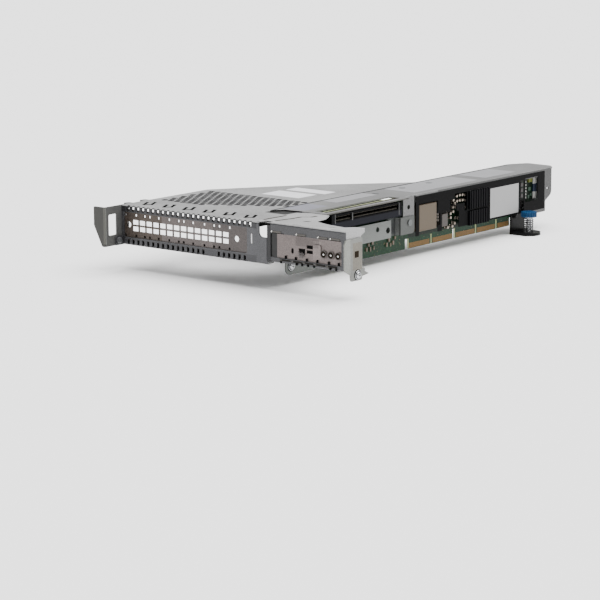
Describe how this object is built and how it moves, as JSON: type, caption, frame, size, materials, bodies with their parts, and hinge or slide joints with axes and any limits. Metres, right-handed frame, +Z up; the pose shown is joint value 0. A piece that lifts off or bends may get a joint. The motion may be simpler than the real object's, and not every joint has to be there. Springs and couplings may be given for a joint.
{
  "type": "server riser",
  "caption": "Rear riser cage of a rack server: an upright riser board between a full-height and a low-profile card bay, with a pull handle and a sprung captive thumb screw.",
  "frame": {"origin": "under the middle of the overall box, at the underside of the captive screw's bracket", "axes": "+X along the rear face from the pull handle to the low-profile end, +Y into the server, +Z up"},
  "size_m": [0.2286, 0.3863, 0.0503],
  "materials": {
    "cage_sheet": "galvanised sheet with a fine speckle",
    "grey_paint": "dark grey satin",
    "rivet_steel": "plain",
    "blank_sheet": "warm grey stamped sheet",
    "spring_steel": "bright",
    "zinc_plate": "bright zinc",
    "screw_steel": "bright",
    "board_green": "solder mask",
    "gold": "gold plated",
    "socket_black": "moulded",
    "film_black": "smooth film",
    "chip_cap": "matt plated lid",
    "chip_grey": "moulded",
    "can_metal": "bare can",
    "part_tan": "fired",
    "switch_blue": "moulded",
    "black_paint": "glossy black",
    "knob_blue": "glossy",
    "label_white": "bare, nothing printed"
  },
  "bodies": {
    "root": {"cage_frame": "cage_sheet", "pull_handle": "grey_paint", "handle_rivets": "rivet_steel", "full_height_blank": "blank_sheet", "low_profile_frame": "cage_sheet", "contact_fingers": "spring_steel", "low_profile_blank": "blank_sheet", "end_bracket": "zinc_plate", "end_bracket_screw": "screw_steel", "riser_board": "board_green", "edge_contacts": "gold", "right_slot_connector": "socket_black", "left_slot_connector": "socket_black", "board_tab": "zinc_plate", "board_tab_screws": "screw_steel", "spine": "cage_sheet", "spine_rivets": "rivet_steel", "card_rail": "zinc_plate", "rail_rivets": "rivet_steel", "insulator": "film_black", "main_chip": "chip_cap", "small_ic": "chip_grey", "cable_connectors": "socket_black", "capacitors": "can_metal", "board_components": "part_tan", "switch_block": "switch_blue", "screw_bracket": "black_paint", "bracket_screws": "black_paint", "screw_spring": "spring_steel", "top_labels": "label_white", "spine_label": "label_white", "data_label": "label_white"},
    "press_washer": {"spring_washer": "screw_steel"},
    "thumb_screw": {"captive_screw": "screw_steel", "retaining_ring": "screw_steel", "thumb_knob": "knob_blue"}
  },
  "joints": [
    {"name": "thumb_screw_press", "type": "slide", "parent": "root", "child": "press_washer", "axis": [0, 0, -1], "range_m": [0, 0.004], "stiffness_N_per_m": 400, "springref_m": -0.006, "deforming": ["screw_spring"]},
    {"name": "thumb_screw_turn", "type": "hinge", "parent": "press_washer", "child": "thumb_screw", "pos_m": [0.0522, 0.1417, 0.016], "axis": [0, 0, 1], "continuous": true}
  ]
}
